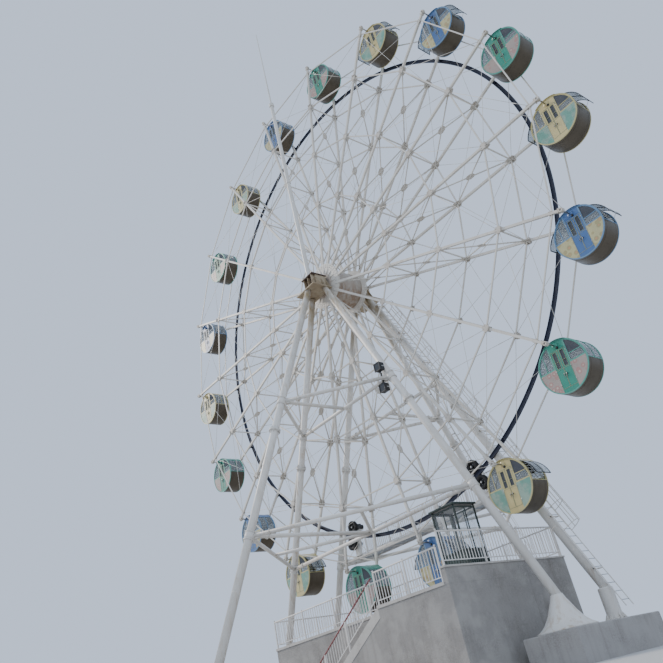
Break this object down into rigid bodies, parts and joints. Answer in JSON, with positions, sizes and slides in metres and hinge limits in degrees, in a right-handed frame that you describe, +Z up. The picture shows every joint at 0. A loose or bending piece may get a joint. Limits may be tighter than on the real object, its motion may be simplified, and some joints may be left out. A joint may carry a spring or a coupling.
{
  "type": "ferris wheel",
  "caption": "Ferris wheel with round closed cabins that hang level between two spoked rims, carried on two tube tripods over a raised boarding platform.",
  "frame": {"origin": "middle of the platform's underside, on the ground straight below the axle's middle", "axes": "+Z up; +Y along the axle from the front tripod to the rear one; +X to the right seen from the front"},
  "size_m": [29.6298, 20.4294, 37.81],
  "materials": {
    "wheel_paint": "satin, weathered",
    "leg_paint": "satin, weathered with brown stains",
    "ring_paint": "satin, dark navy",
    "shaft_steel": "greased",
    "bearing_brown": "matt, rusty",
    "lamp_black": "satin",
    "masonry": "matt render",
    "booth_dark": "satin",
    "rail_paint": "satin, weathered",
    "drive_tyre": "matt rubber",
    "cabin_yellow": "satin, worn",
    "cabin_blue": "satin, worn",
    "cabin_green": "satin, worn"
  },
  "bodies": {
    "base": {"axle": "shaft_steel", "front_bearing_head": "bearing_brown", "rear_bearing_head": "bearing_brown", "front_outrigger_leg": "leg_paint", "rear_outrigger_leg": "leg_paint", "front_left_leg": "leg_paint", "front_right_leg": "leg_paint", "rear_left_leg": "leg_paint", "rear_right_leg": "leg_paint", "front_upper_ties": "leg_paint", "rear_upper_ties": "leg_paint", "front_lower_ties": "leg_paint", "rear_lower_ties": "leg_paint", "lightning_mast": "leg_paint", "leg_ladder": "leg_paint", "outrigger_ladder": "leg_paint", "floodlights": "lamp_black", "service_walk": "leg_paint", "left_drive_mount": "leg_paint", "right_drive_mount": "leg_paint", "boarding_platform": "masonry", "boarding_stair": "masonry", "operator_booth": "booth_dark", "platform_left_rail": "rail_paint", "platform_rear_rail": "rail_paint", "platform_right_rail": "rail_paint", "platform_front_rail": "rail_paint", "boarding_stair_rail": "rail_paint"},
    "wheel": {"wheel_hub": "wheel_paint", "front_inner_frame": "wheel_paint", "rear_inner_frame": "wheel_paint", "front_outer_rim": "wheel_paint", "rear_outer_rim": "wheel_paint", "drive_ring": "ring_paint"},
    "cabin_01": {"cabin_01": "cabin_yellow"},
    "cabin_02": {"cabin_02": "cabin_blue"},
    "cabin_03": {"cabin_03": "cabin_green"},
    "cabin_04": {"cabin_04": "cabin_yellow"},
    "cabin_05": {"cabin_05": "cabin_blue"},
    "cabin_06": {"cabin_06": "cabin_green"},
    "cabin_07": {"cabin_07": "cabin_yellow"},
    "cabin_08": {"cabin_08": "cabin_blue"},
    "cabin_09": {"cabin_09": "cabin_green"},
    "cabin_10": {"cabin_10": "cabin_yellow"},
    "cabin_11": {"cabin_11": "cabin_blue"},
    "cabin_12": {"cabin_12": "cabin_green"},
    "cabin_13": {"cabin_13": "cabin_yellow"},
    "cabin_14": {"cabin_14": "cabin_blue"},
    "cabin_15": {"cabin_15": "cabin_green"},
    "cabin_16": {"cabin_16": "cabin_yellow"},
    "cabin_17": {"cabin_17": "cabin_blue"},
    "cabin_18": {"cabin_18": "cabin_green"},
    "cabin_09_left_door": {"cabin_09_left_door": "cabin_green"},
    "cabin_09_right_door": {"cabin_09_right_door": "cabin_green"},
    "left_inner_tyre": {"left_inner_tyre": "drive_tyre"},
    "left_outer_tyre": {"left_outer_tyre": "drive_tyre"},
    "right_inner_tyre": {"right_inner_tyre": "drive_tyre"},
    "right_outer_tyre": {"right_outer_tyre": "drive_tyre"}
  },
  "joints": [
    {"name": "wheel_spin", "type": "hinge", "parent": "base", "child": "wheel", "pos_m": [0, 0, 18.81], "axis": [0, 1, 0], "continuous": true},
    {"name": "cabin_01_pivot", "type": "hinge", "parent": "wheel", "child": "cabin_01", "pos_m": [7.11741, 0, 30.51609], "axis": [0, 1, 0], "continuous": true},
    {"name": "cabin_02_pivot", "type": "hinge", "parent": "wheel", "child": "cabin_02", "pos_m": [10.6919, 0, 27.37582], "axis": [0, 1, 0], "continuous": true},
    {"name": "cabin_03_pivot", "type": "hinge", "parent": "wheel", "child": "cabin_03", "pos_m": [12.97678, 0, 23.2024], "axis": [0, 1, 0], "continuous": true},
    {"name": "cabin_04_pivot", "type": "hinge", "parent": "wheel", "child": "cabin_04", "pos_m": [13.69647, 0, 18.49918], "axis": [0, 1, 0], "continuous": true},
    {"name": "cabin_05_pivot", "type": "hinge", "parent": "wheel", "child": "cabin_05", "pos_m": [12.76417, 0, 13.83346], "axis": [0, 1, 0], "continuous": true},
    {"name": "cabin_06_pivot", "type": "hinge", "parent": "wheel", "child": "cabin_06", "pos_m": [10.29232, 0, 9.76798], "axis": [0, 1, 0], "continuous": true},
    {"name": "cabin_07_pivot", "type": "hinge", "parent": "wheel", "child": "cabin_07", "pos_m": [6.57906, 0, 6.7931], "axis": [0, 1, 0], "continuous": true},
    {"name": "cabin_08_pivot", "type": "hinge", "parent": "wheel", "child": "cabin_08", "pos_m": [2.07227, 0, 5.26763], "axis": [0, 1, 0], "continuous": true},
    {"name": "cabin_09_pivot", "type": "hinge", "parent": "wheel", "child": "cabin_09", "pos_m": [-2.68446, 0, 5.37558], "axis": [0, 1, 0], "continuous": true},
    {"name": "cabin_10_pivot", "type": "hinge", "parent": "wheel", "child": "cabin_10", "pos_m": [-7.11741, 0, 7.10391], "axis": [0, 1, 0], "continuous": true},
    {"name": "cabin_11_pivot", "type": "hinge", "parent": "wheel", "child": "cabin_11", "pos_m": [-10.6919, 0, 10.24418], "axis": [0, 1, 0], "continuous": true},
    {"name": "cabin_12_pivot", "type": "hinge", "parent": "wheel", "child": "cabin_12", "pos_m": [-12.97678, 0, 14.4176], "axis": [0, 1, 0], "continuous": true},
    {"name": "cabin_13_pivot", "type": "hinge", "parent": "wheel", "child": "cabin_13", "pos_m": [-13.69647, 0, 19.12082], "axis": [0, 1, 0], "continuous": true},
    {"name": "cabin_14_pivot", "type": "hinge", "parent": "wheel", "child": "cabin_14", "pos_m": [-12.76417, 0, 23.78654], "axis": [0, 1, 0], "continuous": true},
    {"name": "cabin_15_pivot", "type": "hinge", "parent": "wheel", "child": "cabin_15", "pos_m": [-10.29232, 0, 27.85202], "axis": [0, 1, 0], "continuous": true},
    {"name": "cabin_16_pivot", "type": "hinge", "parent": "wheel", "child": "cabin_16", "pos_m": [-6.57906, 0, 30.8269], "axis": [0, 1, 0], "continuous": true},
    {"name": "cabin_17_pivot", "type": "hinge", "parent": "wheel", "child": "cabin_17", "pos_m": [-2.07227, 0, 32.35237], "axis": [0, 1, 0], "continuous": true},
    {"name": "cabin_18_pivot", "type": "hinge", "parent": "wheel", "child": "cabin_18", "pos_m": [2.68446, 0, 32.24442], "axis": [0, 1, 0], "continuous": true},
    {"name": "cabin_09_left_door_hinge", "type": "hinge", "parent": "cabin_09", "child": "cabin_09_left_door", "pos_m": [-2.99446, -0.352, 4.57858], "axis": [0, 0, -1], "range_deg": [0, 90]},
    {"name": "cabin_09_right_door_hinge", "type": "hinge", "parent": "cabin_09", "child": "cabin_09_right_door", "pos_m": [-2.37446, -0.352, 4.57858], "axis": [0, 0, 1], "range_deg": [0, 90]},
    {"name": "left_inner_tyre_spin", "type": "hinge", "parent": "base", "child": "left_inner_tyre", "pos_m": [-4.0401, 1.15, 7.70992], "axis": [0, 1, 0], "continuous": true},
    {"name": "left_outer_tyre_spin", "type": "hinge", "parent": "base", "child": "left_outer_tyre", "pos_m": [-4.30774, 1.15, 6.97457], "axis": [0, 1, 0], "continuous": true},
    {"name": "right_inner_tyre_spin", "type": "hinge", "parent": "base", "child": "right_inner_tyre", "pos_m": [4.0401, 1.15, 7.70992], "axis": [0, 1, 0], "continuous": true},
    {"name": "right_outer_tyre_spin", "type": "hinge", "parent": "base", "child": "right_outer_tyre", "pos_m": [4.30774, 1.15, 6.97457], "axis": [0, 1, 0], "continuous": true}
  ],
  "couplings": [
    {"joint": "cabin_01_pivot", "follows": "wheel_spin", "ratio": -1},
    {"joint": "cabin_02_pivot", "follows": "wheel_spin", "ratio": -1},
    {"joint": "cabin_03_pivot", "follows": "wheel_spin", "ratio": -1},
    {"joint": "cabin_04_pivot", "follows": "wheel_spin", "ratio": -1},
    {"joint": "cabin_05_pivot", "follows": "wheel_spin", "ratio": -1},
    {"joint": "cabin_06_pivot", "follows": "wheel_spin", "ratio": -1},
    {"joint": "cabin_07_pivot", "follows": "wheel_spin", "ratio": -1},
    {"joint": "cabin_08_pivot", "follows": "wheel_spin", "ratio": -1},
    {"joint": "cabin_09_pivot", "follows": "wheel_spin", "ratio": -1},
    {"joint": "cabin_10_pivot", "follows": "wheel_spin", "ratio": -1},
    {"joint": "cabin_11_pivot", "follows": "wheel_spin", "ratio": -1},
    {"joint": "cabin_12_pivot", "follows": "wheel_spin", "ratio": -1},
    {"joint": "cabin_13_pivot", "follows": "wheel_spin", "ratio": -1},
    {"joint": "cabin_14_pivot", "follows": "wheel_spin", "ratio": -1},
    {"joint": "cabin_15_pivot", "follows": "wheel_spin", "ratio": -1},
    {"joint": "cabin_16_pivot", "follows": "wheel_spin", "ratio": -1},
    {"joint": "cabin_17_pivot", "follows": "wheel_spin", "ratio": -1},
    {"joint": "cabin_18_pivot", "follows": "wheel_spin", "ratio": -1},
    {"joint": "left_inner_tyre_spin", "follows": "wheel_spin", "ratio": 40.463},
    {"joint": "left_outer_tyre_spin", "follows": "wheel_spin", "ratio": -40.963},
    {"joint": "right_inner_tyre_spin", "follows": "wheel_spin", "ratio": 40.463},
    {"joint": "right_outer_tyre_spin", "follows": "wheel_spin", "ratio": -40.963}
  ]
}
